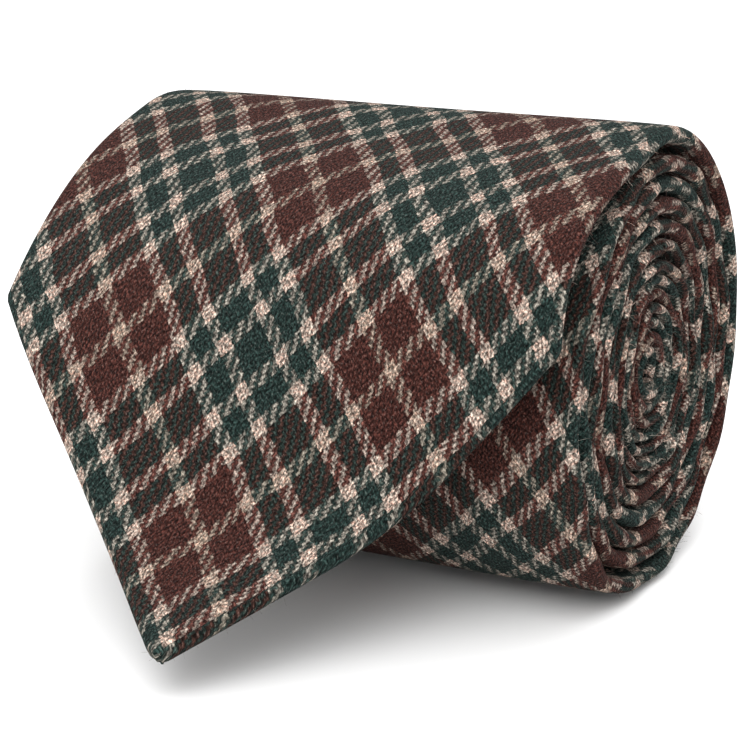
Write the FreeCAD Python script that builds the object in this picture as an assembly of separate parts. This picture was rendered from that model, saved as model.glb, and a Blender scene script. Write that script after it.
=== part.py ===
import FreeCAD, Part
import math
import os

# Rolled necktie.  X runs along the roll axis, -Y is the side the wide end
# hangs over, +Z is up.  The origin is the middle of the flat the roll rests on.

# Whole tie
blade_width = 80.0
roll_radius = 33.0
rest_flat_depth = 0.45
right_end = blade_width / 2
left_end = -blade_width / 2
axis_height = roll_radius - rest_flat_depth

# Cloth stack of the wide blade, from the outside of the roll inwards
blade_cloth = 0.75
blade_lining = 1.2
blade_stack = 2.8

# Cloth stack of the neck and tail, pressed thinner by the tight inner turns
neck_cloth = 0.6
neck_lining = 0.6
neck_stack = 1.9

layer_gap = 0.05

# Half turns of the spiral and how far each one steps inwards
loop_half_turns = 2
loop_step = 1.95
blade_half_turns = 10
blade_step = 1.45
neck_half_turns = 16
total_half_turns = 25
neck_step = 1.0

# Left end of the roll: a hollow cone, because the tie narrows towards the neck
neck_width = 36.0
tail_width = 45.0
hollow_reach = 8.0
hollow_mouth_radius = 36.0
hollow_floor_radius = 19.0
tail_radius = 9.0

# Hanging end: arcs of its outer face as (radius, turn in degrees)
drape_bends = [(52.0, 16.0), (35.4, 54.0)]
tip_bends = [(-69.0, 39.0)]
tip_height = 46.0
tip_inset_share = 1.55
body_gap = 0.3

# Underside of the hanging end
fold_slit = 0.6
split_height = 24.0
hem_width = 9.0
tail_hem = 6.0
window_overrun = 15.0
trim_reach = 20.0
floor_reach = 100.0
thread_overlap = 1.0
tipping_depth = 2.1
tipping_cloth = 0.3

# Thread: square section, one long run in the slit between the two folds
thread_width = 0.4
blade_thread_depth = 2.3
neck_thread_depth = 1.45
seam_gap = 0.8
seam_margin = 1.0
link_cover = 4.0
tack_width = 7.0
tack_height = 1.2
tack_cloth = 0.3
tack_lift = 0.02
tack_angle = 24.0
tail_tack_width = 14.0 / 3
tail_tack_height = 0.8

# Keeper loop sewn to the underside of the outermost turn
keeper_depth = 2.85
keeper_cloth = 0.35
keeper_opening = 0.2
keeper_angle = -35.0
keeper_sweep = 24.0
keeper_half_length = 26.0
keeper_gap_reach = 2.0
keeper_tack_width = 1.2
keeper_tack_cloth = 0.5
keeper_tack_inset = 3.0


def point(centre, radius, angle, x=0.0):
    """Point at an angle on a circle lying across the roll axis."""
    turn = math.radians(angle)
    y = centre[0] + radius * math.cos(turn)
    z = centre[1] + radius * math.sin(turn)
    return FreeCAD.Vector(x, y, z)


def spiral_arcs():
    """Half-turn arcs of the roll's outer face, from the top, over the back, inwards."""
    arcs = []
    radius = roll_radius
    height = axis_height
    angle = 90.0
    for half_turn in range(total_half_turns):
        arcs.append(((0.0, height), radius, angle, angle - 180.0, 1))
        step = neck_step
        if half_turn <= blade_half_turns:
            step = blade_step
        if half_turn < loop_half_turns:
            step = loop_step
        at_bottom = half_turn % 2 == 0
        height += -step if at_bottom else step
        radius -= step
        angle -= 180.0
    return arcs


def drape_path(bends):
    """Arcs of the hanging end's outer face, forwards and down from the roll's top."""
    arcs = []
    place = FreeCAD.Vector(0, 0, axis_height + roll_radius)
    heading = 0.0
    for radius, turn in bends:
        side = 1 if radius > 0 else -1
        size = abs(radius)
        start = heading + 90.0 if side > 0 else heading - 90.0
        away = point((0, 0), size, start)
        centre = (place.y - away.y, place.z - away.z)
        end = start + side * turn
        arcs.append((centre, size, start, end, side))
        place = point(centre, size, end)
        heading += side * turn
    return arcs


def offset_edge(arc, depth):
    """One arc of a path, moved towards the inner side by a depth."""
    centre, radius, start, end, side = arc
    size = radius - side * depth
    middle = (start + end) / 2
    ends = [point(centre, size, angle) for angle in (start, middle, end)]
    return Part.Arc(*ends).toShape()


def strip(arcs, outer, inner, low_x, high_x):
    """Layer following a path between two depths, extruded along the roll axis."""
    top = [offset_edge(arc, outer) for arc in arcs]
    under = [offset_edge(arc, inner) for arc in arcs]
    caps = []
    for arc, angle in ((arcs[0], arcs[0][2]), (arcs[-1], arcs[-1][3])):
        a = point(arc[0], arc[1] - arc[4] * outer, angle)
        b = point(arc[0], arc[1] - arc[4] * inner, angle)
        caps.append(Part.makeLine(a, b))
    wire = Part.Wire(Part.__sortEdges__(top + under + caps))
    sheet = Part.Face(wire)
    sheet.translate(FreeCAD.Vector(low_x, 0, 0))
    return sheet.extrude(FreeCAD.Vector(high_x - low_x, 0, 0))


def hollow(inset):
    """Solid of revolution that shapes the narrow left end of the roll."""
    neck_x = right_end - neck_width + inset
    tail_x = right_end - tail_width + inset
    mouth_x = left_end - hollow_reach + inset
    outline = [(mouth_x, 0), (mouth_x, hollow_mouth_radius),
               (neck_x, hollow_floor_radius), (neck_x, tail_radius),
               (tail_x, tail_radius), (tail_x, 0)]
    corners = [FreeCAD.Vector(x, 0, axis_height + radius) for x, radius in outline]
    face = Part.Face(Part.makePolygon(corners + corners[:1]))
    pivot = FreeCAD.Vector(0, 0, axis_height)
    return face.revolve(pivot, FreeCAD.Vector(1, 0, 0), 360)


def rolled_layer(arcs, outer, inner, inset):
    """Layer of the roll, flush on the right and hollowed out on the left."""
    layer = strip(arcs, outer, inner, left_end, right_end - inset)
    return layer.cut(hollow(inset))


def rolled_shell(arcs, stack, cloth):
    """Folded cloth of one rolled piece: a flat tube around the interlining."""
    outside = rolled_layer(arcs, 0.0, stack, 0.0)
    inside = rolled_layer(arcs, cloth, stack - cloth, cloth + layer_gap)
    return outside.cut(inside)


def seam_x(half_turn):
    """Position of the back seam, moving right as the tie narrows."""
    share = min(half_turn / blade_half_turns, 1.0)
    return share * (right_end - neck_width / 2)


def seam_run(arcs, first, outer, inner, width):
    """Run along the back seam, with a sideways jog at the end of each half turn."""
    run = None
    for index, arc in enumerate(arcs):
        here = seam_x(first + index)
        after = seam_x(first + index + 1)
        piece = strip([arc], outer, inner, here - width / 2, here + width / 2)
        run = run.fuse(piece) if run else piece
        if after > here and index + 1 < len(arcs):
            centre, radius, _start, end, side = arc
            sweep = math.degrees(width / radius)
            jog = (centre, radius, end + sweep, end, side)
            run = run.fuse(strip([jog], outer, inner, here, after + width / 2))
    return run


def seam_block(half_turn, depth, gap, low_x, high_x):
    """Block across the roll at the start of a half turn, one stack deep."""
    centre, radius, start, _end, _side = spiral[half_turn]
    rim = point(centre, radius, start)
    low_z = rim.z - depth
    corner = FreeCAD.Vector(low_x, -gap / 2, low_z)
    return Part.makeBox(high_x - low_x, gap, depth, corner)


def chord_frame(arcs):
    """Start point, direction and outward normal of the straight line under arcs."""
    first = arcs[0]
    last = arcs[-1]
    start = point(first[0], first[1], first[2])
    end = point(last[0], last[1], last[3])
    along = (end - start).normalize()
    outward = FreeCAD.Vector(0, along.z, -along.y)
    return start, along, outward


def plan_prism(arcs, outline):
    """Prism through the cloth from an outline given across and along the chord."""
    start, along, outward = chord_frame(arcs)
    base = start - outward * trim_reach
    corners = [base + along * v + FreeCAD.Vector(u, 0, 0) for u, v in outline]
    face = Part.Face(Part.makePolygon(corners + corners[:1]))
    return face.extrude(outward * (2 * trim_reach))


def trimmed(arcs, start_gap, end_gap):
    """Path with a small length taken off each end."""
    parts = list(arcs)
    centre, radius, start, end, side = parts[0]
    parts[0] = (centre, radius, start + side * math.degrees(start_gap / radius), end, side)
    centre, radius, start, end, side = parts[-1]
    parts[-1] = (centre, radius, start, end - side * math.degrees(end_gap / radius), side)
    return parts


def point_outline(inset):
    """Pointed end of the blade: straight sides down to a V."""
    half = blade_width / 2 - inset
    height = tip_height - tip_inset_share * inset
    top = -window_overrun
    return [(-half, top), (half, top), (half, 0.0), (0.0, height), (-half, 0.0)]


def drape_window(inset):
    """Opening of the underside within the upper part of the hanging end."""
    half = blade_width / 2 - hem_width - inset
    start, _along, _outward = chord_frame(drape)
    length = (point(drape[-1][0], drape[-1][1], drape[-1][3]) - start).Length
    low = length + window_overrun
    outline = [(0.0, split_height + 2 * inset), (half, length), (half, low),
               (-half, low), (-half, length)]
    return plan_prism(drape, outline)


def flat_tube(arcs):
    """Folded cloth of a stretch of the hanging end, open at both cut ends."""
    outside = strip(arcs, 0.0, blade_stack, left_end, right_end)
    inset = blade_cloth + layer_gap
    inside = strip(arcs, blade_cloth, blade_stack - blade_cloth,
                   left_end + inset, right_end - inset)
    return outside, inside


def make_drape_shell():
    """Upper part of the hanging end: face, side folds and back folds."""
    outside, inside = flat_tube(drape_cut)
    back = strip(drape_cut, blade_stack - blade_cloth, blade_stack, left_end, right_end)
    slit = strip(drape_cut, blade_stack - blade_cloth, blade_stack,
                 -fold_slit / 2, fold_slit / 2)
    window = back.common(drape_window(0.0))
    return outside.cut(inside).cut(slit).cut(window)


def make_tip_shell():
    """Pointed part: face cloth, turned-in hems, and the window between them."""
    outside, inside = flat_tube(tip_cut)
    outside = outside.common(plan_prism(tip, point_outline(0.0)))
    inside = inside.common(plan_prism(tip, point_outline(blade_cloth)))
    back = strip(tip_cut, blade_stack - blade_cloth, blade_stack, left_end, right_end)
    window = back.common(plan_prism(tip, point_outline(hem_width)))
    return outside.cut(inside).cut(window)


def make_drape_lining():
    """Interlining inside the upper part of the hanging end."""
    inset = blade_cloth + 2 * layer_gap
    return strip(drape_cut, blade_cloth + layer_gap, blade_cloth + layer_gap + blade_lining,
                 left_end + inset, right_end - inset)


def make_tip_lining():
    """Interlining inside the point."""
    inset = blade_cloth + 2 * layer_gap
    layer = strip(tip_cut, blade_cloth + layer_gap, blade_cloth + layer_gap + blade_lining,
                  left_end + inset, right_end - inset)
    return layer.common(plan_prism(tip, point_outline(inset)))


def make_drape_tipping():
    """Thin facing cloth seen between the folds above the shoulders."""
    layer = strip(drape_cut, tipping_depth, tipping_depth + tipping_cloth,
                  left_end, right_end)
    return layer.common(drape_window(layer_gap * 2))


def make_tip_tipping():
    """Thin facing cloth seen between the hems of the point."""
    layer = strip(tip_cut, tipping_depth, tipping_depth + tipping_cloth,
                  left_end, right_end)
    return layer.common(plan_prism(tip, point_outline(hem_width + 2 * layer_gap)))


def make_blade_shell():
    """Rolled part of the wide blade's folded cloth."""
    arcs = spiral[:blade_half_turns]
    shell = rolled_shell(arcs, blade_stack, blade_cloth)
    slit = seam_run(arcs, 0, blade_stack - blade_cloth, blade_stack, fold_slit)
    seam = seam_block(blade_half_turns, blade_stack, seam_gap, left_end, right_end)
    corner = FreeCAD.Vector(-floor_reach, -floor_reach, -trim_reach)
    floor = Part.makeBox(2 * floor_reach, 2 * floor_reach, trim_reach, corner)
    return shell.cut(slit).cut(seam).cut(floor)


def make_neck_shell():
    """Narrow middle piece of cloth, inside the wide blade."""
    arcs = spiral[blade_half_turns:neck_half_turns]
    shell = rolled_shell(arcs, neck_stack, neck_cloth)
    slit = seam_run(arcs, blade_half_turns, neck_stack - neck_cloth, neck_stack, fold_slit)
    shell = shell.cut(slit)
    for half_turn in (blade_half_turns, neck_half_turns):
        block = seam_block(half_turn, neck_stack, seam_gap, left_end, right_end)
        shell = shell.cut(block)
    return shell


def tail_window(outer, inner, inset):
    """Open stretch of the narrow end's underside, between its folds."""
    low_x = right_end - tail_width + inset
    return strip(spiral[-2:], outer, inner, low_x, right_end - inset)


def make_tail_shell():
    """Narrow end's cloth, the innermost turns."""
    arcs = spiral[neck_half_turns:]
    shell = rolled_shell(arcs, neck_stack, neck_cloth)
    slit = seam_run(arcs, neck_half_turns, neck_stack - neck_cloth, neck_stack, fold_slit)
    block = seam_block(neck_half_turns, neck_stack, seam_gap, left_end, right_end)
    window = tail_window(neck_stack - neck_cloth, neck_stack, tail_hem)
    return shell.cut(slit).cut(block).cut(window)


def make_tail_tipping():
    """Thin facing cloth inside the narrow end."""
    depth = neck_stack - neck_cloth + layer_gap
    return tail_window(depth, depth + tipping_cloth, tail_hem + 4 * layer_gap)


def make_interlining():
    """Wool interlining through every turn of the roll."""
    blade_top = blade_cloth + layer_gap
    neck_top = neck_cloth + layer_gap
    thick = rolled_layer(spiral[:blade_half_turns], blade_top,
                         blade_top + blade_lining, blade_cloth + 2 * layer_gap)
    thin = rolled_layer(spiral[blade_half_turns:], neck_top,
                        neck_top + neck_lining, neck_cloth + 2 * layer_gap)
    return thick.fuse(thin)


def make_roll_thread():
    """Slip-stitch thread that closes the folds through the roll."""
    blade = seam_run(spiral[:blade_half_turns], 0, blade_thread_depth,
                     blade_thread_depth + thread_width, thread_width)
    neck = seam_run(spiral[blade_half_turns:-2], blade_half_turns, neck_thread_depth,
                    neck_thread_depth + thread_width, thread_width)
    x = seam_x(blade_half_turns)
    low = blade_thread_depth + thread_width
    before = seam_x(blade_half_turns - 1)
    link = seam_block(blade_half_turns, low, thread_width, before, x + thread_width / 2)
    cover = seam_block(blade_half_turns, neck_thread_depth, thread_width,
                       x - link_cover, x + link_cover)
    link = link.cut(cover)
    link.translate(FreeCAD.Vector(0, thread_width / 2, 0))
    return blade.fuse(neck).fuse(link)


def make_drape_thread():
    """Slip-stitch thread that closes the folds of the hanging end."""
    run = strip(drape_cut, blade_thread_depth, blade_thread_depth + thread_width,
                -thread_width / 2, thread_width / 2)
    return run.cut(drape_window(-thread_overlap))


def seam_stitches(half_turn):
    """Row of seam thread between two cloth pieces, at the face side."""
    low_x = right_end - neck_width + seam_margin
    high_x = right_end - seam_margin
    return seam_block(half_turn, neck_cloth, thread_width, low_x, high_x)


def make_front_tack():
    """Bar tack across the two folds, just above where they part."""
    centre, radius, _start, _end, side = drape[1]
    sweep = math.degrees(tack_height / radius)
    angle = tack_angle + 90.0
    arc = (centre, radius, angle, angle + sweep, side)
    depth = blade_stack + tack_lift
    return strip([arc], depth, depth + tack_cloth, -tack_width / 2, tack_width / 2)


def make_tail_tack():
    """Bar tack where the folds of the narrow end part."""
    centre, radius, start, _end, side = spiral[-2]
    sweep = math.degrees(tail_tack_height / radius)
    arc = (centre, radius, start - sweep, start - 2 * sweep, side)
    depth = neck_stack - neck_cloth + layer_gap + tipping_cloth
    middle = seam_x(total_half_turns)
    half = tail_tack_width / 2
    return strip([arc], depth, neck_stack, middle - half, middle + half)


def keeper_arc(extra):
    """Stretch of the outermost turn that carries the keeper loop."""
    centre, radius, _start, _end, side = spiral[0]
    half = keeper_sweep / 2 + extra
    return [(centre, radius, keeper_angle + half, keeper_angle - half, side)]


def make_keeper():
    """Flat loop of self cloth for the narrow end to pass through."""
    half = keeper_half_length
    depth = keeper_depth + 2 * keeper_cloth + keeper_opening
    band = strip(keeper_arc(0), keeper_depth, depth, -half, half)
    inner = keeper_depth + keeper_cloth
    gap = strip(keeper_arc(keeper_gap_reach), inner, inner + keeper_opening,
                keeper_cloth - half, half - keeper_cloth)
    return band.cut(gap)


def make_keeper_stitches():
    """Short tacks that hold the loop's two ends to the blade."""
    tacks = []
    for side in (-1, 1):
        near = side * (keeper_half_length + layer_gap)
        far = side * (keeper_half_length + keeper_tack_width)
        low_x, high_x = sorted((near, far))
        tacks.append(strip(keeper_arc(-keeper_tack_inset), keeper_depth,
                           keeper_depth + keeper_tack_cloth, low_x, high_x))
    return Part.makeCompound(tacks)


spiral = spiral_arcs()
drape = drape_path(drape_bends)
tip = drape_path(drape_bends + tip_bends)[len(drape_bends):]
drape_cut = trimmed(drape, body_gap / 2, body_gap / 2)
tip_cut = trimmed(tip, body_gap / 2, 0.0)

nodes = {
    "wide_blade_shell_roll": make_blade_shell(),
    "wide_blade_shell_drape": make_drape_shell(),
    "wide_blade_shell_tip": make_tip_shell(),
    "neck_shell": make_neck_shell(),
    "tail_shell": make_tail_shell(),
    "interlining_roll": make_interlining(),
    "interlining_drape": make_drape_lining(),
    "interlining_tip": make_tip_lining(),
    "tipping_drape": make_drape_tipping(),
    "tipping_tip": make_tip_tipping(),
    "tail_tipping": make_tail_tipping(),
    "slip_stitch_roll": make_roll_thread(),
    "slip_stitch_drape": make_drape_thread(),
    "neck_seam_thread": seam_stitches(blade_half_turns),
    "tail_seam_thread": seam_stitches(neck_half_turns),
    "front_bar_tack": make_front_tack(),
    "tail_bar_tack": make_tail_tack(),
    "keeper_loop": make_keeper(),
    "keeper_stitches": make_keeper_stitches(),
}

os.makedirs("parts", exist_ok=True)
for name, shape in nodes.items():
    shape.exportStep("parts/" + name + ".step")
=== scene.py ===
import math

import bpy
import numpy as np
from mathutils import Matrix, Vector


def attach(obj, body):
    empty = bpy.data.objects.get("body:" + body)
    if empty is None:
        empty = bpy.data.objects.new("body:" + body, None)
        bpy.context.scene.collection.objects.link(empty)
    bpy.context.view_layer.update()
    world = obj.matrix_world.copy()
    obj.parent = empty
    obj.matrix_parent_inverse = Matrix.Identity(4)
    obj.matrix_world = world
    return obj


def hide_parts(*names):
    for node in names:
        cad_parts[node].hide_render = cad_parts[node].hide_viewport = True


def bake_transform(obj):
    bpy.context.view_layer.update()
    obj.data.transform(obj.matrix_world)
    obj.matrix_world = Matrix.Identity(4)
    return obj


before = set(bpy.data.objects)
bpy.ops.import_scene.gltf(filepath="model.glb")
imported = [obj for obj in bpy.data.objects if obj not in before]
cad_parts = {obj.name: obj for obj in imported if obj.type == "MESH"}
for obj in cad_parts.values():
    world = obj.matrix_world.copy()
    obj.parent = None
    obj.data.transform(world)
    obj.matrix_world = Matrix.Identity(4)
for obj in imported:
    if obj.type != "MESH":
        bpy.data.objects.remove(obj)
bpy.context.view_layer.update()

# Lengths below are in millimetres; meshes are scaled to metres when they are made.
MM = 0.001
TINY = 1e-6

# Roll and blade, as in the CAD model
ROLL_RADIUS = 33.0
AXIS_HEIGHT = 32.55
HALF_WIDTH = 40.0
HALF_TURN_STEPS = [1.95] * 2 + [1.45] * 9 + [1.0] * 13
BLADE_HALF_TURNS = 10
NECK_HALF_TURNS = 16
BLADE_STACK = 2.8
BLADE_CLOTH = 0.75
NECK_STACK = 1.9
NECK_CLOTH = 0.6

# Unevenness of the roll: its mean swell, how high its two, three and five lobes are, and
# how the lobes turn across the tie
SWELL = 0.3
TWO_LOBES = 0.45
THREE_LOBES = 0.2
FIVE_LOBES = 0.15
SWELL_REACH = 1.3
THREE_LOBES_DRIFT = 19.0
FIVE_LOBES_DRIFT = 23.0
FIVE_LOBES_TURN = 2.0

# The flat it rests on: cloth lower than REST_ZONE is squeezed up by up to REST_SINK
REST_ZONE = 5.0
REST_SINK = 0.95

# Left edge: a hollow cone that opens to the left, down to the neck's edge, and the tail's
# edge a little further out
HOLLOW_MOUTH_RADIUS = 35.5
HOLLOW_SLOPE = 3.1515
HOLLOW_REACH = 48.0
NECK_LEFT = 4.0
TAIL_WIDENING = 9.0
TAIL_WIDENING_RUN = 80.0

# Right edge: coils a little uneven, by a wave and a tremor given with their length per
# radian, and further in towards the roll's middle
EDGE_WAVE = 0.3
EDGE_WAVE_RADIAN = 5.9
EDGE_TREMOR = 0.25
EDGE_TREMOR_RADIAN = 2.3
EDGE_WAVE_START = 40.0
EDGE_WAVE_RUN = 60.0
MIDDLE_RECESS = 1.6

# Hanging end: heading below the horizontal at stations along the outer face, for
# the middle of the cloth, and how much steeper the right edge runs than the middle
DRAPE_STATIONS = [0.0, 5.0, 14.5, 30.0, 47.9, 62.0, 78.0, 95.0]
DRAPE_HEADINGS = [0.0, 14.0, 14.0, 32.0, 67.5, 67.0, 40.0, 29.0]
DRAPE_TWISTS = [0.0, -1.0, -5.0, -2.0, 17.0, 12.0, -18.0, -22.0]
SHOULDER = 48.4
POINT_APEX = 98.6
TIP_END = 96.4
SPLIT_START = 24.0
HEM_WIDTH = 9.5
DRAPE_OVERRUN = 5.0
DRAPE_SAMPLES = 2000
DRAPE_SMOOTHING = 60

# Folded section: grid columns, crown towards the folds, slit between the back folds,
# and the most that a fold and a trimmed edge take of a narrow tip's half width
FACE_COLUMNS = 64
BACK_COLUMNS = 26
EDGE_COLUMNS = 9
LAYER_COLUMNS = 24
FOLD_CROWN = 0.22
SLIT = 0.3
NARROWEST_SLIT = 0.15
FOLD_SHARE = 0.45
TRIM_SHARE = 0.1

# Where the three stretches of cloth meet, and a distance either side of where the cloth bends
DRAPE_START = -6.0
TIP_START = 39.0
BEND = 8.0
SEAM_GAP = 0.5

# Interlining and tipping: thicknesses, depths below the outer face, how far they stop
# short of the folds and of the tip, and how far tipping goes under the folds
LINING_THICKNESS = 1.05
LINING_DEPTH = BLADE_CLOTH + 0.62
LINING_INSET = 1.9
LINING_SETBACK = 3.0
INNER_LINING_THICKNESS = 0.5
TIPPING_THICKNESS = 0.2
TIPPING_DEPTH = BLADE_STACK - BLADE_CLOTH - 0.16
TIPPING_COVER = 3.0
TIPPING_INSET = 2.6
TIPPING_SETBACK = 7.0
TIPPING_TUCK = 2.0
TAIL_TIPPING_THICKNESS = 0.1
TAIL_TIPPING_HALF = 16.0
TAIL_TIPPING_DEPTH = NECK_STACK - NECK_CLOTH - 0.02
TAIL_TIPPING_LENGTH = 20.0

# Stitches: pitch, side step, lift and dip of the slip stitch, and how far it and the bar
# tack stop short of the split; reach of that tack, lift of a tack over its middle, and the
# keeper tacks' half width and step past the loop; end margin, half pitch, sway and dip of
# the seams
SLIP_PITCH = 3.4
SLIP_STEP = 0.8
SLIP_LIFT = 0.03
SLIP_DIP = 0.3
SLIP_SETBACK = 2.5
TACK_SETBACK = 2.2
TACK_HALF = 3.5
TACK_LIFT = 0.12
KEEPER_TACK_HALF = 0.6
KEEPER_TACK_STEP = 0.7
SEAM_MARGIN = 1.5
SEAM_HALF_PITCH = 1.25
SEAM_SWAY = 0.1
SEAM_DIP = 0.22

# Radii of the sewing threads
SLIP_THREAD = 0.13
INNER_SLIP_THREAD = 0.08
SEAM_THREAD = 0.1
TACK_THREAD = 0.11
TAIL_TACK_THREAD = 0.06

# Direction from which a tube's cross section is turned
TUBE_SIDE = (0.31, 0.17, 0.94)

# Keeper loop on the back of the wide blade
KEEPER_HALF = 26.0
KEEPER_MIDDLE = -72.0
KEEPER_WIDTH = 12.5
KEEPER_CLOTH = 0.32
KEEPER_LOW = BLADE_STACK + 0.05
KEEPER_HIGH = BLADE_STACK + 0.92

# Stray wool fibres: where they stop on the outer turn and along the left edge, then rings,
# radius, taper, bend as a share of length, and how deep a root sits
OUTER_TURN_END = -205.0
LEFT_EDGE_END = -400.0
FIBRE_RINGS = 4
FIBRE_RADIUS = 0.034
FIBRE_TAPER = 0.6
FIBRE_BEND = 0.55
FIBRE_ROOT = 0.05

# Check: how far each set of threads leans from the length axis, and its repeat as
# measured along a thread; drift is scale, detail and reach of the yarns' two noises
THREADS_PER_REPEAT = 64
REPEAT = 32.3
LEAN_A = math.radians(38.8)
LEAN_B = math.radians(35.1)
CHECK_ORIGIN = (-20.5, 51.6)
YARN_DRIFT = [(0.11, 2.0, 2.0), (2.2, 3.0, 0.6)]
RIB_PITCH = 0.3
PLY_PITCH = 0.5

rng = np.random.default_rng(7)


# ---- Path of the tie's outer face -------------------------------------------------


def half_turns():
    """Start length, centre height, radius and start angle of each half turn."""
    rows = []
    radius = ROLL_RADIUS
    height = AXIS_HEIGHT
    angle = math.pi / 2
    start = 0.0
    for index in range(len(HALF_TURN_STEPS) + 1):
        rows.append((start, height, radius, angle))
        start += math.pi * radius
        if index < len(HALF_TURN_STEPS):
            step = HALF_TURN_STEPS[index]
            height += -step if index % 2 == 0 else step
            radius -= step
        angle -= math.pi
    return np.array(rows), start


TURNS, ROLL_LENGTH = half_turns()
BLADE_END = -TURNS[BLADE_HALF_TURNS, 0]
NECK_END = -TURNS[NECK_HALF_TURNS, 0]
TAIL_END = 2.0 - ROLL_LENGTH


def drape_table(side):
    """Finely integrated line of one side of the hanging end's outer face."""
    length = np.linspace(0.0, TIP_END + DRAPE_OVERRUN, DRAPE_SAMPLES)
    headings = np.array(DRAPE_HEADINGS) + side * np.array(DRAPE_TWISTS)
    heading = np.radians(np.interp(length, DRAPE_STATIONS, headings))
    kernel = np.hanning(2 * DRAPE_SMOOTHING + 1)
    padded = np.pad(heading, DRAPE_SMOOTHING, mode="edge")
    heading = np.convolve(padded, kernel / kernel.sum(), mode="valid")
    step = np.diff(length, prepend=0.0)
    y = -np.cumsum(np.cos(heading) * step)
    z = AXIS_HEIGHT + ROLL_RADIUS - np.cumsum(np.sin(heading) * step)
    return length, y, z, heading


DRAPE_SIDES = [drape_table(-1), drape_table(1)]


def guide(length, x=0.0):
    """Point and outward normal on the outer face at a length from the roll's top."""
    length, x = np.broadcast_arrays(np.asarray(length, float), x)
    into = np.clip(-length, 0.0, ROLL_LENGTH - TINY)
    index = np.clip(np.searchsorted(TURNS[:, 0], into, side="right") - 1, 0, len(TURNS) - 1)
    start, height, radius, angle = np.moveaxis(TURNS[index], -1, 0)
    theta = angle - (into - start) / radius
    roll_n = np.stack([np.cos(theta), np.sin(theta)], -1)
    roll_p = roll_n * radius[..., None]
    roll_p[..., 1] += height
    right_share = np.clip(x / (2 * HALF_WIDTH) + 0.5, 0.0, 1.0)
    y, z, heading = (
        sum(share * np.interp(length, side[0], side[column])
            for share, side in zip((1 - right_share, right_share), DRAPE_SIDES))
        for column in (1, 2, 3))
    drape_n = np.stack([-np.sin(heading), np.cos(heading)], -1)
    drape_p = np.stack([y, z], -1)
    hanging = (length > 0)[..., None]
    return np.where(hanging, drape_p, roll_p), np.where(hanging, drape_n, roll_n)


def place(length, x, depth):
    """Points, in mm, of places given along the tie, across it and below its outer face."""
    length, x, depth = np.broadcast_arrays(np.asarray(length, float), x, depth)
    point, normal = guide(length, x)
    point = point - normal * depth[..., None]
    return settle(np.stack([x, point[..., 0], point[..., 1]], -1))


def settle(cloth):
    """Soft unevenness of the whole roll, and the flat it rests on."""
    x, y, z = cloth[..., 0], cloth[..., 1], cloth[..., 2]
    up = z - AXIS_HEIGHT
    radius = np.hypot(y, up)
    angle = np.arctan2(up, y)
    share = np.clip(radius / ROLL_RADIUS, 0.0, SWELL_REACH) ** 2
    three = np.sin(3 * angle + x / THREE_LOBES_DRIFT)
    five = np.sin(5 * angle + FIVE_LOBES_TURN - x / FIVE_LOBES_DRIFT)
    swell = (SWELL + TWO_LOBES * np.cos(2 * angle) + THREE_LOBES * three
             + FIVE_LOBES * five) * share
    factor = 1 + swell / np.maximum(radius, 1.0)
    y = y * factor
    z = AXIS_HEIGHT + up * factor
    squeezed = REST_ZONE + (z - REST_ZONE) * REST_ZONE / (REST_ZONE + REST_SINK)
    z = np.where(z < REST_ZONE, squeezed, z)
    return np.stack([x, y, z], -1)


# ---- Outline of the tie -----------------------------------------------------------


def edges(length):
    """Left and right edge of the folded tie across its length."""
    length = np.asarray(length, float)
    point, _normal = guide(length)
    radius = np.hypot(point[..., 0], point[..., 1] - AXIS_HEIGHT)
    hollow = HOLLOW_SLOPE * (HOLLOW_MOUTH_RADIUS - radius) - HOLLOW_REACH
    left = np.maximum(-HALF_WIDTH, hollow)
    left = np.where(length < BLADE_END, NECK_LEFT, np.minimum(left, NECK_LEFT))
    tail = np.clip((NECK_END - length) / TAIL_WIDENING_RUN, 0.0, 1.0)
    left = left - TAIL_WIDENING * tail
    ripple = (EDGE_WAVE * np.sin(length / EDGE_WAVE_RADIAN)
              + EDGE_TREMOR * np.sin(length / EDGE_TREMOR_RADIAN + 1.0))
    inside = np.clip((-length - EDGE_WAVE_START) / EDGE_WAVE_RUN, 0.0, 1.0)
    recess = MIDDLE_RECESS * (1 - np.clip(radius / ROLL_RADIUS, 0, 1)) * inside
    right = HALF_WIDTH - recess + ripple * inside
    hang = length > 0
    half = tip_half_width(length)
    left = np.where(hang, -half, left)
    right = np.where(hang, half, right)
    return left, right


def tip_half_width(length):
    """Half width of the hanging end: straight, then drawn in to a blunt point."""
    slope = HALF_WIDTH / (POINT_APEX - SHOULDER)
    straight = slope * np.clip(POINT_APEX - length, 0.0, None)
    blunt = slope * (POINT_APEX - TIP_END)
    rounded = np.sqrt(np.clip(straight ** 2 - blunt ** 2, 0.0, None))
    return np.clip(rounded, 0.1, HALF_WIDTH)


def fold_reach(length, left, right):
    """Where the two back folds end, either side of the tie's centre line."""
    middle = (left + right) / 2
    half = (right - left) / 2
    opened = np.clip((length - SPLIT_START) / (SHOULDER - SPLIT_START), 0.0, 1.0)
    gap = SLIT + opened * (HALF_WIDTH - HEM_WIDTH - SLIT)
    between_hems = np.maximum(half - HEM_WIDTH, NARROWEST_SLIT)
    gap = np.where(length > SHOULDER, between_hems, np.minimum(gap, between_hems))
    return middle, gap


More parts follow.
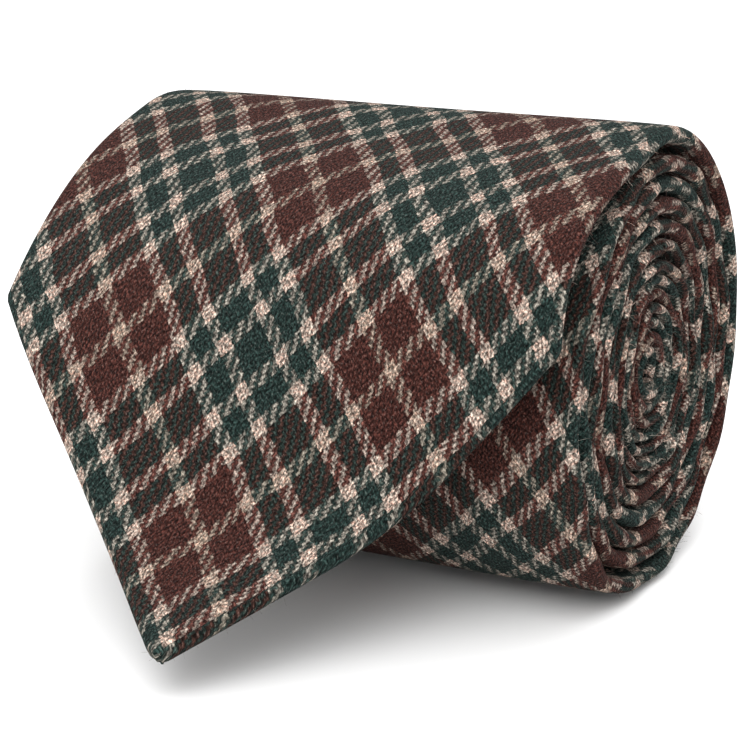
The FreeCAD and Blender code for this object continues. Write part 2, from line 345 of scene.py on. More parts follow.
def section(length, stack, cloth):
    """Grid of x, depth and cloth coordinate for rows of folded cloth."""
    left, right = edges(length)
    middle, gap = fold_reach(length, left, right)
    bend = (stack - cloth) / 2
    half = (right - left) / 2
    bend_x = np.minimum(bend, half * FOLD_SHARE)
    trim = np.minimum(cloth / 2, half * TRIM_SHARE)
    inner = half - trim - bend_x
    t_face = np.linspace(-1.0, 1.0, FACE_COLUMNS)
    t_edge = np.linspace(0.0, 1.0, EDGE_COLUMNS + 2)[1:-1]
    t_back = np.linspace(0.0, 1.0, BACK_COLUMNS)
    face_x = inner[:, None] * t_face
    crown = FOLD_CROWN * np.abs(t_face) ** 8
    face_d = cloth / 2 + crown + 0 * face_x
    turn = t_edge * math.pi
    edge_x = inner[:, None] + bend_x[:, None] * np.sin(turn)
    edge_d = stack / 2 - (bend - FOLD_CROWN) * np.cos(turn) + 0 * edge_x
    back_x = inner[:, None] + (gap - inner)[:, None] * t_back
    back_d = stack - cloth / 2 - FOLD_CROWN * (1 - t_back) ** 6 + 0 * back_x
    arc = math.pi * bend * t_edge
    edge_u = half[:, None] + arc - bend
    back_u = half[:, None] + math.pi * bend - bend + (inner[:, None] - back_x)
    x = np.hstack([-back_x[:, ::-1], -edge_x[:, ::-1], face_x, edge_x, back_x])
    depth = np.hstack([back_d[:, ::-1], edge_d[:, ::-1], face_d, edge_d, back_d])
    across = np.hstack([-back_u[:, ::-1], -edge_u[:, ::-1], face_x, edge_u, back_u])
    return middle[:, None] + x, depth, across


def centre_line(length):
    """Middle of the tie across its length."""
    left, right = edges(length)
    return (left + right) / 2


# ---- Meshes -----------------------------------------------------------------------


def unit(vectors):
    """Vectors scaled to a length of one."""
    return vectors / np.maximum(np.linalg.norm(vectors, axis=-1, keepdims=True), TINY)


def grid_normals(grid):
    """Normals of a grid of points, pointing out of the cloth's outer face."""
    return unit(np.cross(np.gradient(grid, axis=1), np.gradient(grid, axis=0)))


def add_object(name, data):
    """Object for a mesh, light or camera, linked into the scene."""
    new = bpy.data.objects.new(name, data)
    bpy.context.collection.objects.link(new)
    return new


def set_cloth_uv(mesh, uv, corners):
    """Cloth coordinates, in mm, of each face corner, given for each vertex."""
    layer = mesh.uv_layers.new(name="cloth")
    layer.data.foreach_set("uv", uv[corners].astype(np.float32).ravel())


def slab_mesh(name, grid, uv, thickness, normals):
    """Closed slab around a grid of points, with the grid's cloth coordinates as UV."""
    rows, columns = grid.shape[:2]
    upper = (grid + normals * thickness / 2).reshape(-1, 3)
    lower = (grid - normals * thickness / 2).reshape(-1, 3)
    index = np.arange(rows * columns).reshape(rows, columns)
    a, b = index[:-1, :-1].ravel(), index[1:, :-1].ravel()
    c, d = index[1:, 1:].ravel(), index[:-1, 1:].ravel()
    size = rows * columns
    faces = [np.stack([a, b, c, d], 1), np.stack([a, d, c, b], 1) + size]
    rim = np.concatenate([index[0, :], index[1:, -1], index[-1, -2::-1], index[-2:0:-1, 0]])
    follow = np.roll(rim, -1)
    faces.append(np.stack([rim, follow, follow + size, rim + size], 1))
    faces = np.concatenate(faces)
    mesh = bpy.data.meshes.new(name)
    points = np.concatenate([upper, lower]) * MM
    mesh.from_pydata(points.tolist(), [], faces.tolist())
    set_cloth_uv(mesh, np.tile(uv.reshape(-1, 2), (2, 1)), faces.ravel())
    mesh.polygons.foreach_set("use_smooth", [True] * len(faces))
    rim_edges = set()
    for p, q in zip(rim.tolist(), follow.tolist()):
        rim_edges.add((min(p, q), max(p, q)))
        rim_edges.add((min(p, q) + size, max(p, q) + size))
    sharp = mesh.attributes.new("sharp_edge", "BOOLEAN", "EDGE")
    sharp.data.foreach_set("value", [tuple(sorted(e.vertices)) in rim_edges for e in mesh.edges])
    mesh.update()
    return add_object(name, mesh)


def folded_piece(name, low, high, rows, stack, cloth):
    """Stretch of folded cloth between two lengths along the tie."""
    length = np.linspace(low, high, rows)
    margin = (high - low) / (rows - 1)
    wide = np.concatenate([[low - margin], length, [high + margin]])
    x, depth, across = section(wide, stack, cloth)
    grid = place(wide[:, None] + 0 * x, x, depth)
    uv = np.stack([across, wide[:, None] + 0 * across], -1)
    return slab_mesh(name, grid[1:-1], uv[1:-1], cloth, grid_normals(grid)[1:-1])


# ---- Materials --------------------------------------------------------------------


class Nodes:
    """Small helper that adds linked shader nodes in one line each."""

    def __init__(self, name):
        self.material = bpy.data.materials.new(name)
        self.material.use_nodes = True
        self.tree = self.material.node_tree
        self.shader = self.tree.nodes["Principled BSDF"]

    def add(self, kind, inputs=(), **settings):
        node = self.tree.nodes.new(kind)
        for key, value in settings.items():
            setattr(node, key, value)
        for key, value in dict(inputs).items():
            if isinstance(value, bpy.types.NodeSocket):
                self.tree.links.new(value, node.inputs[key])
            else:
                node.inputs[key].default_value = value
        return node

    def math(self, operation, a, b=0.0, c=0.0):
        return self.add("ShaderNodeMath", {0: a, 1: b, 2: c}, operation=operation).outputs[0]

    def mix(self, factor, a, b, blend="MIX"):
        node = self.add("ShaderNodeMix", {0: factor, 6: a, 7: b}, data_type="RGBA",
                        blend_type=blend)
        return node.outputs[2]

    def to_shader(self, key, value):
        if isinstance(value, bpy.types.NodeSocket):
            self.tree.links.new(value, self.shader.inputs[key])
        else:
            self.shader.inputs[key].default_value = value

    def relief(self, height, distance, strength):
        bump = self.add("ShaderNodeBump", {"Height": height, "Distance": distance,
                                           "Strength": strength})
        self.to_shader("Normal", bump.outputs[0])


def linear(red, green, blue):
    """Linear colour of an 8-bit sRGB one."""
    def channel(value):
        value /= 255.0
        return value / 12.92 if value <= 0.04045 else ((value + 0.055) / 1.055) ** 2.4
    return (channel(red), channel(green), channel(blue), 1.0)


BROWN = linear(61, 35, 30)
GREEN = linear(31, 45, 42)
CREAM = linear(143, 135, 125)
DULL_CREAM = linear(132, 122, 110)
# Pale lint, partly a painted highlight where wool fibres catch the light
LINT_AND_HIGHLIGHT = linear(132, 128, 122)

# Rust tint: how much brighter it is than both yarns multiplied together, its share of the
# lower yarn's own colour, and its share of the cloth in patches and in hollows
GLOW = (13.0, 8.0, 8.0, 1.0)
GLOW_UNDER = 0.2
PATCH_TINT = 0.45
PATCH_SCALE = 2.4
PATCH_CONTRAST = 3.0
PATCH_LEVEL = 0.45
HOLLOW_TINT = 0.12

# Wool: share of the darker yarn mingled in, light in a hollow and added on a crown,
# contrast of the two sets of fibre strokes, light, range and scale of slow clouds, limits
# of all these together, and from where and how fast pale lint and a painted fibre highlight show
MINGLE = 0.3
HOLLOW_LIGHT = 0.45
CROWN_LIGHT = 0.6
CROWN_POWER = 0.6
STROKE_CONTRAST = 3.6
CROSS_CONTRAST = 2.2
CLOUD_LIGHT = 0.8
CLOUD_RANGE = 0.4
CLOUD_SCALE = 0.4
DARKEST = 0.05
LIGHTEST = 2.6
LINT_AND_HIGHLIGHT_LEVEL = 0.58
LINT_AND_HIGHLIGHT_GAIN = 2.0

# Threads of one repeat, from the middle of one dull cream line to the middle of the next
STRIPES = [(2, DULL_CREAM), (11, BROWN), (4, CREAM), (6, GREEN), (4, CREAM), (10, GREEN),
           (4, CREAM), (6, GREEN), (4, CREAM), (11, BROWN), (2, DULL_CREAM)]


def stripe_ramp(nodes, position):
    """Colour of the thread at a position from 0 to 1 in the repeat."""
    node = nodes.add("ShaderNodeValToRGB", {0: position})
    ramp = node.color_ramp
    ramp.interpolation = "CONSTANT"
    total = sum(count for count, _colour in STRIPES)
    start = 0
    for order, (count, colour) in enumerate(STRIPES):
        place_at = max(start - 0.5, 0.0) / total
        stop = ramp.elements[0] if order == 0 else ramp.elements.new(place_at)
        stop.position = place_at
        stop.color = colour
        start += count
    ramp.elements.remove(ramp.elements[-1])
    return node.outputs[0]


def yarn_counts(n, uv):
    """Position across both sets of yarns, in yarns, with hand-like unevenness."""
    moved = uv
    for scale, detail, reach in YARN_DRIFT:
        texture = n.add("ShaderNodeTexNoise", {"Vector": uv, "Scale": scale, "Detail": detail})
        centred = n.add("ShaderNodeVectorMath", {0: texture.outputs["Color"], 1: (0.5, 0.5, 0.5)},
                        operation="SUBTRACT").outputs[0]
        moved = n.add("ShaderNodeVectorMath", {0: centred, 1: (reach, reach, 0), 2: moved},
                      operation="MULTIPLY_ADD").outputs[0]
    split = n.add("ShaderNodeSeparateXYZ", {0: moved})
    pitch = REPEAT / THREADS_PER_REPEAT * math.sin(LEAN_A + LEAN_B)
    counts = []
    for across, along in ((math.cos(LEAN_B), -math.sin(LEAN_B)),
                          (math.cos(LEAN_A), math.sin(LEAN_A))):
        offset = -(CHECK_ORIGIN[0] * across + CHECK_ORIGIN[1] * along) / pitch
        part = n.math("MULTIPLY_ADD", split.outputs[0], across / pitch, offset)
        counts.append(n.math("MULTIPLY_ADD", split.outputs[1], along / pitch, part))
    return counts


def weave(n, uv):
    """Colour of the upper yarn, of the lower yarn, and height of a 2/2 twill."""
    a, b = yarn_counts(n, uv)
    floor_a = n.math("FLOOR", a)
    floor_b = n.math("FLOOR", b)
    order = n.math("FLOORED_MODULO", n.math("ADD", floor_a, floor_b), 4.0)
    a_on_top = n.math("LESS_THAN", order, 1.5)
    colours = []
    for floor_index in (floor_a, floor_b):
        turn = n.math("FLOORED_MODULO", n.math("ADD", floor_index, 0.25), THREADS_PER_REPEAT)
        colours.append(stripe_ramp(n, n.math("DIVIDE", turn, THREADS_PER_REPEAT)))
    top = n.mix(a_on_top, colours[1], colours[0])
    under = n.mix(a_on_top, colours[0], colours[1])
    heights = []
    for own, own_floor, other, shift in ((b, floor_b, a, -2.0), (a, floor_a, b, 0.0)):
        centred = n.math("MULTIPLY_ADD", n.math("FRACT", own), 2.0, -1.0)
        ridge = n.math("SUBTRACT", 1.0, n.math("MULTIPLY", centred, centred))
        run = n.math("ADD", n.math("ADD", own_floor, other), shift)
        run = n.math("FLOORED_MODULO", run, 4.0)
        arch = n.math("MAXIMUM", n.math("SINE", n.math("MULTIPLY", run, math.pi / 2)), 0.0)
        heights.append(n.math("MULTIPLY", ridge, arch))
    height = n.add("ShaderNodeMix", {0: a_on_top, 2: heights[0], 3: heights[1]},
                   data_type="FLOAT").outputs[0]
    return top, under, height


def noise(n, vector, scale, detail=2.0, rough=0.5):
    """Factor of a noise texture."""
    node = n.add("ShaderNodeTexNoise", {"Vector": vector, "Scale": scale, "Detail": detail,
                                        "Roughness": rough})
    return node.outputs["Fac"]


def strokes(n, uv, lean, fine, slow):
    """Noise drawn out into short strokes at a lean from the length axis."""
    split = n.add("ShaderNodeSeparateXYZ", {0: uv})
    u, v = split.outputs[0], split.outputs[1]
    c, s = math.cos(lean), math.sin(lean)
    across = n.math("MULTIPLY_ADD", u, c * fine, n.math("MULTIPLY", v, s * fine))
    along = n.math("MULTIPLY_ADD", u, s * slow, n.math("MULTIPLY", v, -c * slow))
    drawn = n.add("ShaderNodeCombineXYZ", {0: across, 1: along}).outputs[0]
    return noise(n, drawn, 1.0, 3.0, 0.62)


def wool_colour(n, uv, top, under, height):
    """Upper yarn mingled with the lower one, and rust-tinted in patches and hollows."""
    both = n.mix(1.0, top, under, "MULTIPLY")
    glow = n.mix(GLOW_UNDER, n.mix(1.0, both, GLOW, "MULTIPLY"), under)
    mingled = n.mix(MINGLE, top, n.mix(1.0, top, under, "DARKEN"))
    worn = n.math("MULTIPLY_ADD", noise(n, uv, PATCH_SCALE), PATCH_CONTRAST,
                  -PATCH_CONTRAST * PATCH_LEVEL)
    patch = n.add("ShaderNodeClamp", {0: worn}).outputs[0]
    hollow = n.math("MULTIPLY_ADD", height, -HOLLOW_TINT, HOLLOW_TINT)
    return n.mix(n.math("MULTIPLY_ADD", patch, PATCH_TINT, hollow), mingled, glow)


def wool_shade(n, uv, height, grains, highlight_lift):
    """Light and dark of raised yarns, of fibre strokes and of slow clouds."""
    crown = n.math("POWER", height, CROWN_POWER)
    shade = n.math("MULTIPLY_ADD", crown, CROWN_LIGHT, HOLLOW_LIGHT)
    for grain, power in grains:
        shade = n.math("MULTIPLY", shade, n.math("POWER", n.math("MULTIPLY", grain, 2.0), power))
    cloud = noise(n, uv, CLOUD_SCALE, 3.0)
    # A lift above one paints the wool lighter, a painted highlight for the stray fibres
    clouded = n.math("MULTIPLY_ADD", cloud, CLOUD_RANGE, CLOUD_LIGHT * highlight_lift)
    shade = n.math("MULTIPLY", shade, clouded)
    return n.math("MINIMUM", n.math("MAXIMUM", shade, DARKEST), LIGHTEST)


def check_wool(name="check_wool", highlight_lift=1.0, pale=0.0):
    """Woollen 2/2 twill: two crossing sets of coloured yarns, with fuzz."""
    n = Nodes(name)
    uv = n.add("ShaderNodeUVMap", uv_map="cloth").outputs[0]
    top, under, height = weave(n, uv)
    fibre = strokes(n, uv, math.radians(14), 3.6, 1.5)
    cross = strokes(n, uv, math.radians(-38), 4.4, 2.2)
    grains = [(fibre, STROKE_CONTRAST), (cross, CROSS_CONTRAST)]
    shade = wool_shade(n, uv, height, grains, highlight_lift)
    coloured = wool_colour(n, uv, top, under, height)
    grey = n.add("ShaderNodeCombineColor", {0: shade, 1: shade, 2: shade}).outputs[0]
    lit = n.mix(1.0, coloured, grey, "MULTIPLY")
    # Pale lint where the cross strokes are high: partly real lint, partly a painted highlight where
    # fibres catch the light
    lint_and_highlight = n.math("MAXIMUM", n.math("SUBTRACT", cross, LINT_AND_HIGHLIGHT_LEVEL), 0.0)
    lint_and_highlight = n.math("MULTIPLY_ADD", lint_and_highlight, LINT_AND_HIGHLIGHT_GAIN, pale)
    n.to_shader("Base Color", n.mix(lint_and_highlight, lit, LINT_AND_HIGHLIGHT))
    n.to_shader("Roughness", 0.95)
    n.to_shader("Specular IOR Level", 0.04)
    n.to_shader("Sheen Weight", 0.02)
    n.to_shader("Sheen Roughness", 0.5)
    n.relief(n.math("MULTIPLY_ADD", fibre, 1.4, height), 0.0003, 0.9)
    return n.material


def lining_felt():
    """Brushed, off-white interlining."""
    n = Nodes("interlining_felt")
    uv = n.add("ShaderNodeUVMap", uv_map="cloth").outputs[0]
    grain = noise(n, uv, 2.0, 6.0, 0.7)
    tone = n.mix(grain, linear(168, 158, 138), linear(214, 206, 188))
    n.to_shader("Base Color", tone)
    n.to_shader("Roughness", 0.95)
    n.relief(grain, 0.0003, 0.6)
    return n.material


def facing_satin():
    """Dark brown satin tipping with a fine cross rib."""
    n = Nodes("tipping_satin")
    uv = n.add("ShaderNodeUVMap", uv_map="cloth").outputs[0]
    split = n.add("ShaderNodeSeparateXYZ", {0: uv})
    rib = n.math("SINE", n.math("MULTIPLY", split.outputs[1], 2 * math.pi / RIB_PITCH))
    slub = noise(n, uv, 0.8, 3.0)
    n.to_shader("Base Color", n.mix(slub, linear(28, 17, 14), linear(46, 29, 23)))
    n.to_shader("Roughness", n.math("MULTIPLY_ADD", slub, 0.2, 0.45))
    n.to_shader("Specular IOR Level", 0.2)
    n.relief(rib, 0.00004, 0.6)
    return n.material


def sewing_thread():
    """Twisted dark brown thread."""
    n = Nodes("sewing_thread")
    uv = n.add("ShaderNodeUVMap", uv_map="cloth").outputs[0]
    split = n.add("ShaderNodeSeparateXYZ", {0: uv})
    turn = n.math("MULTIPLY_ADD", split.outputs[1], 2 * math.pi / PLY_PITCH, split.outputs[0])
    ply = n.math("MULTIPLY_ADD", n.math("SINE", turn), 0.5, 0.5)
    # Painted shade: darker in the grooves between the plies, lighter on their crowns
    n.to_shader("Base Color", n.mix(ply, linear(34, 20, 15), linear(82, 52, 40)))
    n.to_shader("Roughness", 0.55)
    n.relief(ply, 0.00005, 0.8)
    return n.material


WOOL = check_wool()
# Stray fibres: a lighter copy of the wool with more pale lint, a painted highlight where the fibres
# catch the light
FUZZ = check_wool("wool_fibres", 1.3, 0.3)
FELT = lining_felt()
SATIN = facing_satin()
THREAD = sewing_thread()


def joint_at(length):
    """Point, in metres, on the middle of the tie's outer face."""
    return tuple(place(length, 0.0, 0.0) * MM)


def follow_roll(piece):
    """Piece that stays with the roll."""
    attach(piece, "roll")


def follow_drape(piece):
    """Piece where the hanging end leaves the roll, with its transform baked into its mesh."""
    joint_at(DRAPE_START)
    joint_at(BEND)
    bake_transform(piece)


def follow_tip(piece):
    """Piece across the shoulders, with its transform baked into its mesh."""
    joint_at(SHOULDER - BEND)
    joint_at(SHOULDER + BEND)
    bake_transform(piece)


def dress(piece, material, slot, follow, *nodes):
    """Material, slot (not used), body and the CAD nodes a piece stands for."""
    piece.data.materials.append(material)
    if nodes:
        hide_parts(*nodes)
    follow(piece)
    return piece


def layer_piece(name, low, high, rows, depth, thickness, reach):
    """Flat layer inside the folds; reach gives its half width at each length."""
    length = np.linspace(low, high, rows)[:, None]
    across = np.linspace(-1.0, 1.0, LAYER_COLUMNS) * reach(length)
    grid = place(length, centre_line(length) + across, depth)
    uv = np.stack([across, length + 0 * across], -1)
    return slab_mesh(name, grid, uv, thickness, grid_normals(grid))


def tube_piece(name, points, radius, sides=6):
    """Thin tube along points given in mm, with length along it as UV."""
    points = np.asarray(points, float)
    along = unit(np.gradient(points, axis=0))
    side = unit(np.cross(along, TUBE_SIDE))
    other = np.cross(along, side)
    angle = np.arange(sides) * 2 * math.pi / sides
    ring = (np.cos(angle)[None, :, None] * side[:, None]
            + np.sin(angle)[None, :, None] * other[:, None])
    vertices = (points[:, None] + radius * ring).reshape(-1, 3)
    rows = len(points)
    index = np.arange(rows * sides).reshape(rows, sides)
    nxt = np.roll(index, -1, axis=1)
    quads = np.stack([index[:-1], nxt[:-1], nxt[1:], index[1:]], -1).reshape(-1, 4)
    faces = quads.tolist() + [index[0, ::-1].tolist(), index[-1].tolist()]
    mesh = bpy.data.meshes.new(name)
    mesh.from_pydata((vertices * MM).tolist(), [], faces)
    length = np.cumsum(np.linalg.norm(np.diff(points, axis=0, prepend=points[:1]), axis=1))
    uv = np.stack([np.tile(angle, rows), np.repeat(length, sides)], -1)
    set_cloth_uv(mesh, uv, np.array([v for face in faces for v in face]))
    mesh.polygons.foreach_set("use_smooth", [True] * len(faces))
    return add_object(name, mesh)


# ---- Pieces -----------------------------------------------------------------------


def make_cloth():
    """The wide blade's three stretches, the neck and the tail."""
    stretches = [
        ("blade_cloth_rolled", BLADE_END, DRAPE_START, 400, BLADE_STACK, BLADE_CLOTH,
         (0.125, 0.80), None, follow_roll, "wide_blade_shell_roll"),
        ("blade_cloth_hanging", DRAPE_START, TIP_START, 64, BLADE_STACK, BLADE_CLOTH,
         (0.163, 0.045), None, follow_drape, "wide_blade_shell_drape"),
        ("blade_cloth_point", TIP_START, TIP_END, 84, BLADE_STACK, BLADE_CLOTH,
         (0.12, 0.06), 0.0048, follow_tip, "wide_blade_shell_tip"),
        ("neck_cloth", NECK_END, BLADE_END - SEAM_GAP, 170, NECK_STACK, NECK_CLOTH,
         (0.078, 0.29), None, follow_roll, "neck_shell"),
        ("tail_cloth", TAIL_END, NECK_END - SEAM_GAP, 200, NECK_STACK, NECK_CLOTH,
         (0.09, 0.21), None, follow_roll, "tail_shell"),
    ]
    for name, low, high, rows, stack, cloth, flat, area, follow, node in stretches:
        piece = folded_piece(name, low, high, rows, stack, cloth)
        dress(piece, WOOL, "check_wool", follow, node)


def make_lining():
    """Interlining through the hanging end and every turn of the roll."""
    def reach(length):
        left, right = edges(length)
        return np.maximum((right - left) / 2 - LINING_INSET, 0.3)

    stretches = [
        ("interlining_rolled", BLADE_END, DRAPE_START, 280, (0.056, 0.80), None,
         follow_roll, ["interlining_roll"]),
        ("interlining_hanging", DRAPE_START, TIP_START, 48, (0.076, 0.045), None,
         follow_drape, ["interlining_drape"]),
        ("interlining_point", TIP_START, TIP_END - LINING_SETBACK, 56, (0.076, 0.057), 0.0026,
         follow_tip, ["interlining_tip"]),
        ("interlining_inner", TAIL_END, BLADE_END - SEAM_GAP, 300, (0.036, 0.50), None,
         follow_roll, []),
    ]
    for name, low, high, rows, flat, area, follow, nodes in stretches:
        inner = high < BLADE_END
        depth = NECK_STACK / 2 if inner else LINING_DEPTH
        thickness = INNER_LINING_THICKNESS if inner else LINING_THICKNESS
        piece = layer_piece(name, low, high, rows, depth, thickness, reach)
        dress(piece, FELT, "interlining", follow, *nodes)


def make_tipping():
    """Satin facing seen between the back folds of both ends."""
    def reach(length):
        left, right = edges(length)
        _middle, gap = fold_reach(length, left, right)
        limit = np.maximum((right - left) / 2 - TIPPING_INSET, 0.4)
        return np.minimum(gap + TIPPING_COVER, limit)

    def tail_reach(length):
        return TAIL_TIPPING_HALF + 0 * length

    wide = (TIPPING_DEPTH, TIPPING_THICKNESS, reach)
    narrow = (TAIL_TIPPING_DEPTH, TAIL_TIPPING_THICKNESS, tail_reach)
    stretches = [
        ("tipping_hanging", SPLIT_START - TIPPING_TUCK, TIP_START, 24, wide,
         (0.044, 0.017), 0.00039, follow_drape, "tipping_drape"),
        ("tipping_point", TIP_START, TIP_END - TIPPING_SETBACK, 48, wide,
         (0.067, 0.053), 0.00193, follow_tip, "tipping_tip"),
        ("tipping_tail", TAIL_END, TAIL_END + TAIL_TIPPING_LENGTH, 40, narrow,
         (0.032, 0.0135), None, follow_roll, "tail_tipping"),
    ]
    for name, low, high, rows, layer, flat, area, follow, node in stretches:
        piece = layer_piece(name, low, high, rows, *layer)
        dress(piece, SATIN, "tipping", follow, node)


def slip_path(low, high, stack):
    """Long slanting stitches over the slit between the two back folds."""
    count = max(int((high - low) / SLIP_PITCH * 8), 8)
    length = np.linspace(low, high, count)
    phase = (length - low) / SLIP_PITCH * math.pi
    across = centre_line(length) + SLIP_STEP * np.sin(phase)
    depth = stack + SLIP_LIFT - SLIP_DIP * np.cos(phase) ** 8
    return place(length, across, depth)


def tack_path(middle, length, half, depth, passes=15, pitch=0.09):
    """Satin-stitched bar across the folds."""
    turns = np.arange(passes * 2)
    across = middle + half * np.where(turns % 2 == 0, -1.0, 1.0)
    along = length + turns * pitch / 2
    fine = np.linspace(0, len(turns) - 1, len(turns) * 10)
    across = np.interp(fine, turns, across)
    highlight_lift = TACK_LIFT * np.cos((across - middle) / half * math.pi / 2)
    return place(np.interp(fine, turns, along), across, depth + highlight_lift)


def keeper_tack_path(side):
    """Small bar that holds one end of the keeper loop."""
    middle = side * (KEEPER_HALF + KEEPER_TACK_STEP)
    start = KEEPER_MIDDLE - KEEPER_TACK_HALF
    return tack_path(middle, start, KEEPER_TACK_HALF, BLADE_STACK + 0.1, 12)


def seam_path(length, depth):
    """Running stitches across the tie where two cloth pieces join."""
    left, right = edges(np.array(length))
    across = np.linspace(left + SEAM_MARGIN, right - SEAM_MARGIN, 160)
    wave = np.sin(across * math.pi / SEAM_HALF_PITCH)
    return place(length + SEAM_SWAY * wave, across, depth + SEAM_DIP * wave)


def make_thread():
    """Slip stitch, seams, bar tacks and the keeper's stitches."""
    jobs = [
        ("slip_stitch_blade", slip_path(BLADE_END + 2.0, DRAPE_START, BLADE_STACK),
         SLIP_THREAD, follow_roll, "slip_stitch_roll"),
        ("slip_stitch_inner", slip_path(30.0 - ROLL_LENGTH, BLADE_END - 2.0, NECK_STACK - 0.08),
         INNER_SLIP_THREAD, follow_roll, None),
        ("slip_stitch_hanging", slip_path(DRAPE_START, SPLIT_START - SLIP_SETBACK, BLADE_STACK),
         SLIP_THREAD, follow_drape, "slip_stitch_drape"),
        ("neck_seam", seam_path(BLADE_END - SEAM_GAP / 2, NECK_CLOTH / 2), SEAM_THREAD, follow_roll,
         "neck_seam_thread"),
        ("tail_seam", seam_path(NECK_END - SEAM_GAP / 2, NECK_CLOTH / 2), SEAM_THREAD, follow_roll,
         "tail_seam_thread"),
        ("bar_tack_wide_end", tack_path(0.0, SPLIT_START - TACK_SETBACK, TACK_HALF, BLADE_STACK + 0.05),
         TACK_THREAD, follow_drape, "front_bar_tack"),
        ("bar_tack_narrow_end", tack_path(18.0, 24.0 - ROLL_LENGTH, 2.0, NECK_STACK - 0.2, 8),
         TAIL_TACK_THREAD, follow_roll, "tail_bar_tack"),
        ("keeper_tack_left", keeper_tack_path(-1), SEAM_THREAD, follow_roll, None),
        ("keeper_tack_right", keeper_tack_path(1), SEAM_THREAD, follow_roll, "keeper_stitches"),
    ]
    for name, path, radius, follow, node in jobs:
        piece = tube_piece(name, path, radius)
        dress(piece, THREAD, "thread", follow, *([node] if node else []))


def make_keeper():
    """Flattened loop of self cloth on the back of the wide blade."""
    near = KEEPER_LOW + KEEPER_CLOTH / 2
    far = KEEPER_HIGH - KEEPER_CLOTH / 2
    bend = (far - near) / 2
    turn = np.linspace(0.0, math.pi, 7)
    half = KEEPER_HALF - bend
    run = np.linspace(-half, half, 40)
    fold = half + bend * np.sin(turn)
    across = np.concatenate([run, fold, run[::-1], -fold])
    middle = (near + far) / 2
    depth = np.concatenate([near + 0 * run, middle - bend * np.cos(turn), far + 0 * run,
                            middle + bend * np.cos(turn)])
    length = np.linspace(-KEEPER_WIDTH / 2, KEEPER_WIDTH / 2, 14)[:, None] + KEEPER_MIDDLE
    grid = place(length, across, depth)
    travel = np.concatenate([[0.0], np.cumsum(np.hypot(np.diff(across), np.diff(depth)))])
    uv = np.stack([travel + 0 * length, length + 0 * travel], -1)
    loop = slab_mesh("keeper_loop_cloth", grid, uv, KEEPER_CLOTH, grid_normals(grid))
    dress(loop, WOOL, "check_wool", follow_roll, "keeper_loop")


def fibre_lines(stretch, cloth, count, columns, long, comb):
    """Rings of stray fibres rooted on some columns, and the cloth coordinates of each root."""
    low, high, rows = stretch
    stack, thickness = cloth
    length = np.linspace(low, high, rows)
    x, depth, across = section(length, stack, thickness)
    grid = place(length[:, None] + 0 * x, x, depth)
    row = rng.integers(0, rows - 1, count)
    column = rng.integers(columns[0], columns[1], count)
    u, v = rng.random((2, count, 1))
    root = grid[row, column] * (1 - u) + grid[row + 1, column] * u
    root += (grid[row, column + 1] - grid[row, column]) * v
    up = grid_normals(grid)[row, column]
    root += up * (thickness / 2 - FIBRE_ROOT)
    tangent = unit(grid[row + 1, column] - grid[row, column])
    flat = rng.normal(size=(count, 3)) + comb * rng.choice((-1.0, 1.0), (count, 1)) * tangent
    flat = unit(flat - up * (flat * up).sum(1, keepdims=True))
    curl = np.cross(up, flat)
    size = long * rng.uniform(0.35, 1.0, (count, 1)) ** 1.5
    rise = rng.uniform(0.05, 0.42, (count, 1)) * size
    bend = rng.normal(0.0, FIBRE_BEND, (count, 1)) * size
    steps = np.linspace(0.0, 1.0, FIBRE_RINGS)
    line = [root + flat * size * t + up * rise * (t - 0.5 * t * t) + curl * bend * t * t
            for t in steps]
    width = FIBRE_RADIUS * (1 - FIBRE_TAPER * steps)[None, :, None]
    corner = np.array([0.0, 2.1, 4.2])
    ring = (np.cos(corner)[:, None, None, None] * up[:, None]
            + np.sin(corner)[:, None, None, None] * curl[:, None])
    rings = (np.stack(line, 1)[None] + ring * width).transpose(1, 2, 0, 3)
    return rings, np.stack([across[row, column], length[row]], -1)


def fibres(name, stretch, cloth, count, columns, long, comb, follow):
    """Stray wool fibres as three-sided tubes, combed more or less along the tie."""
    rings, spot = fibre_lines(stretch, cloth, count, columns, long, comb)
    index = np.arange(rings.size // 3).reshape(rings.shape[:3])
    turned = np.roll(index, -1, axis=2)
    quads = np.stack([index[:, :-1], turned[:, :-1], turned[:, 1:], index[:, 1:]], -1)
    ends = np.concatenate([index[:, 0, ::-1], index[:, -1]])
    faces = quads.reshape(-1, 4).tolist() + ends.tolist()
    mesh = bpy.data.meshes.new(name)
    mesh.from_pydata((rings.reshape(-1, 3) * MM).tolist(), [], faces)
    spot = np.repeat(spot, rings[0].size // 3, axis=0)
    set_cloth_uv(mesh, spot, np.concatenate([quads.ravel(), ends.ravel()]))
    return dress(add_object(name, mesh), FUZZ, "check_wool", follow)


def make_fuzz():
    """Short fibres over the faces, denser along the folded edges."""
    blade = (BLADE_STACK, BLADE_CLOTH)
    neck = (NECK_STACK, NECK_CLOTH)
    first = BACK_COLUMNS + EDGE_COLUMNS
    last = first + FACE_COLUMNS
    face = (first - 5, last + 4)
    right = (last - 5, last + EDGE_COLUMNS + 2)
    left = (first - EDGE_COLUMNS - 2, first + 4)
    point = (TIP_START, TIP_END - 0.5, 120)
    fibres("fuzz_point", point, blade, 5000, face, 1.6, 0.8, follow_tip)
    fibres("fuzz_point_right", point, blade, 1200, right, 1.3, 1.2, follow_tip)
    fibres("fuzz_point_left", point, blade, 1200, left, 1.3, 1.2, follow_tip)
    fibres("fuzz_hanging", (DRAPE_START, TIP_START, 120), blade, 4500, face, 2.2, 0.8,
           follow_drape)
    fibres("fuzz_outer_turn", (OUTER_TURN_END, DRAPE_START, 300), blade, 8500, face, 2.2, 0.8,
           follow_roll)
    fibres("fuzz_roll_edge", (BLADE_END, DRAPE_START, 600), blade, 20000, right, 1.8, 2.6,
           follow_roll)
    fibres("fuzz_roll_edge_left", (LEFT_EDGE_END, DRAPE_START, 300), blade, 2200, left, 1.8, 1.5,
           follow_roll)
    fibres("fuzz_inner_edge", (TAIL_END, BLADE_END, 500), neck, 8000, right, 2.0, 2.0,
           follow_roll)


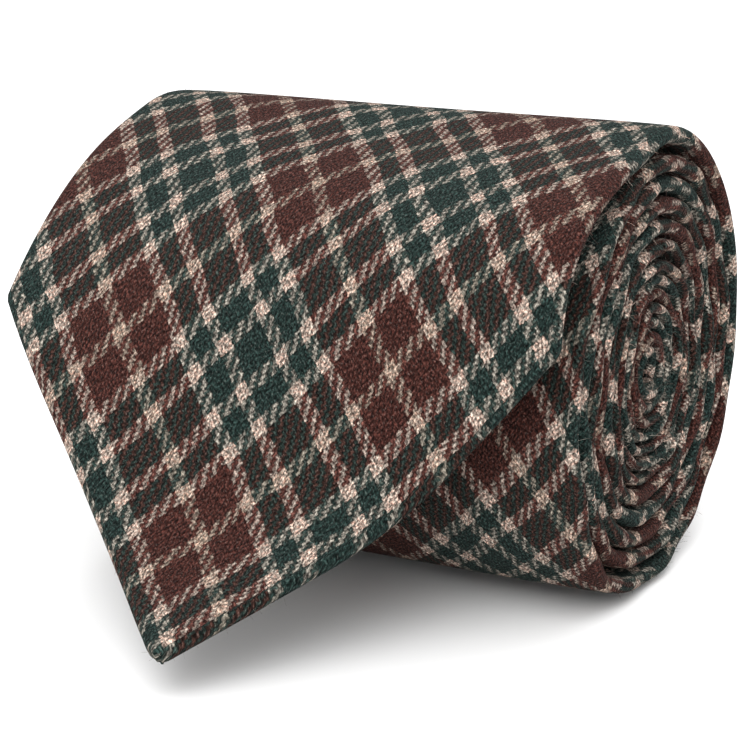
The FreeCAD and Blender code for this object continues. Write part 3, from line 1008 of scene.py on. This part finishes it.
make_cloth()
make_lining()
make_tipping()
make_thread()
make_keeper()
make_fuzz()


# ---- Stage, light and camera ------------------------------------------------------


def make_stage():
    """Plain pale floor, running out of view."""
    bpy.ops.mesh.primitive_plane_add(size=12.0, location=(0, 0, 0))
    floor = bpy.context.object
    floor.name = "floor"
    n = Nodes("floor_paper")
    n.to_shader("Base Color", (0.8, 0.8, 0.8, 1.0))
    n.to_shader("Roughness", 0.9)
    floor.data.materials.append(n.material)


def area_light(name, place_at, target, size, power):
    """Soft square light pointing at a target."""
    data = bpy.data.lights.new(name, "AREA")
    data.shape = "SQUARE"
    data.size = size
    data.energy = power
    lamp = add_object(name, data)
    lamp.location = place_at
    aim = Vector(target) - Vector(place_at)
    lamp.rotation_euler = aim.to_track_quat("-Z", "Y").to_euler()


def make_light():
    """Large soft sources around a white room."""
    world = bpy.data.worlds.new("studio")
    bpy.context.scene.world = world
    world.use_nodes = True
    background = world.node_tree.nodes["Background"]
    background.inputs["Color"].default_value = (1, 1, 1, 1)
    background.inputs["Strength"].default_value = 1.12
    area_light("key", (0.15, 0.0, 1.1), (0, 0, 0.03), 1.5, 9.0)
    area_light("fill", (0.25, -1.0, 0.95), (0, 0, 0.03), 0.9, 17.0)


def make_camera():
    """Camera from the front right, slightly above the roll."""
    azimuth = math.radians(26.332)
    elevation = math.radians(16.623)
    distance = 0.33609
    target = Vector((0.0, -0.00337, 0.01957))
    right = Vector((math.cos(azimuth), math.sin(azimuth), 0.0))
    up = Vector((-math.sin(azimuth) * math.sin(elevation),
                 math.cos(azimuth) * math.sin(elevation), math.cos(elevation)))
    back = right.cross(up)
    data = bpy.data.cameras.new("camera")
    data.sensor_width = 36.0
    data.lens = 110.24
    data.shift_x = -0.0243
    data.shift_y = 0.0648
    data.clip_start = 0.01
    camera = add_object("camera", data)
    turn = Matrix((right, up, back)).transposed().to_4x4()
    camera.matrix_world = Matrix.Translation(target + back * distance) @ turn
    bpy.context.scene.camera = camera


make_stage()
make_light()
make_camera()
bpy.context.scene.view_settings.view_transform = "Standard"
